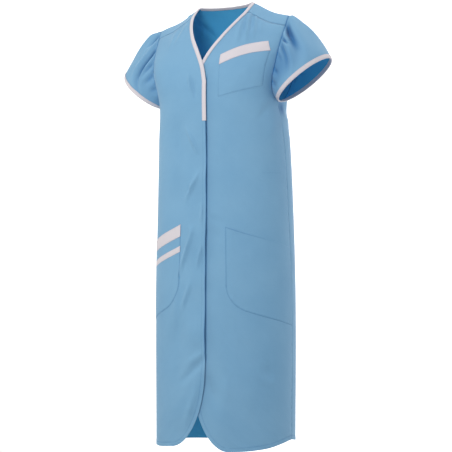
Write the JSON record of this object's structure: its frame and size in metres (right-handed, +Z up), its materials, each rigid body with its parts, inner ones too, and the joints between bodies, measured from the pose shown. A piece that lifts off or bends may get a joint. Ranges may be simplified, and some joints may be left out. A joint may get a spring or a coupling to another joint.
{
  "type": "work blouse",
  "caption": "Long blue overall blouse with short gathered sleeves, V neck, white bindings and patch pockets, hollow as if worn.",
  "frame": {"origin": "middle of the shoulder line between the neck points, where the wearer's shoulders hold the blouse up", "axes": "+Z up along the body, +X to the wearer's left, the front closing faces -Y"},
  "size_m": [0.5468, 0.2444, 1.0751],
  "materials": {
    "blue_cloth": "matt plain-woven cotton and polyester, light blue",
    "white_trim": "matt white binding and bands of the same cloth"
  },
  "bodies": {
    "root": {"back": "blue_cloth", "front_left": "blue_cloth", "front_right": "blue_cloth", "yoke_left": "blue_cloth", "yoke_right": "blue_cloth", "neck_band_left": "white_trim", "neck_band_right": "white_trim", "neck_band_back": "white_trim", "sleeve_left": "blue_cloth", "sleeve_right": "blue_cloth", "sleeve_binding_left": "white_trim", "sleeve_binding_right": "white_trim", "chest_pocket": "blue_cloth", "chest_pocket_band": "white_trim", "pocket_left": "blue_cloth", "pocket_right": "blue_cloth", "pocket_right_band_wide": "white_trim", "pocket_right_band_narrow": "white_trim"}
  },
  "joints": []
}
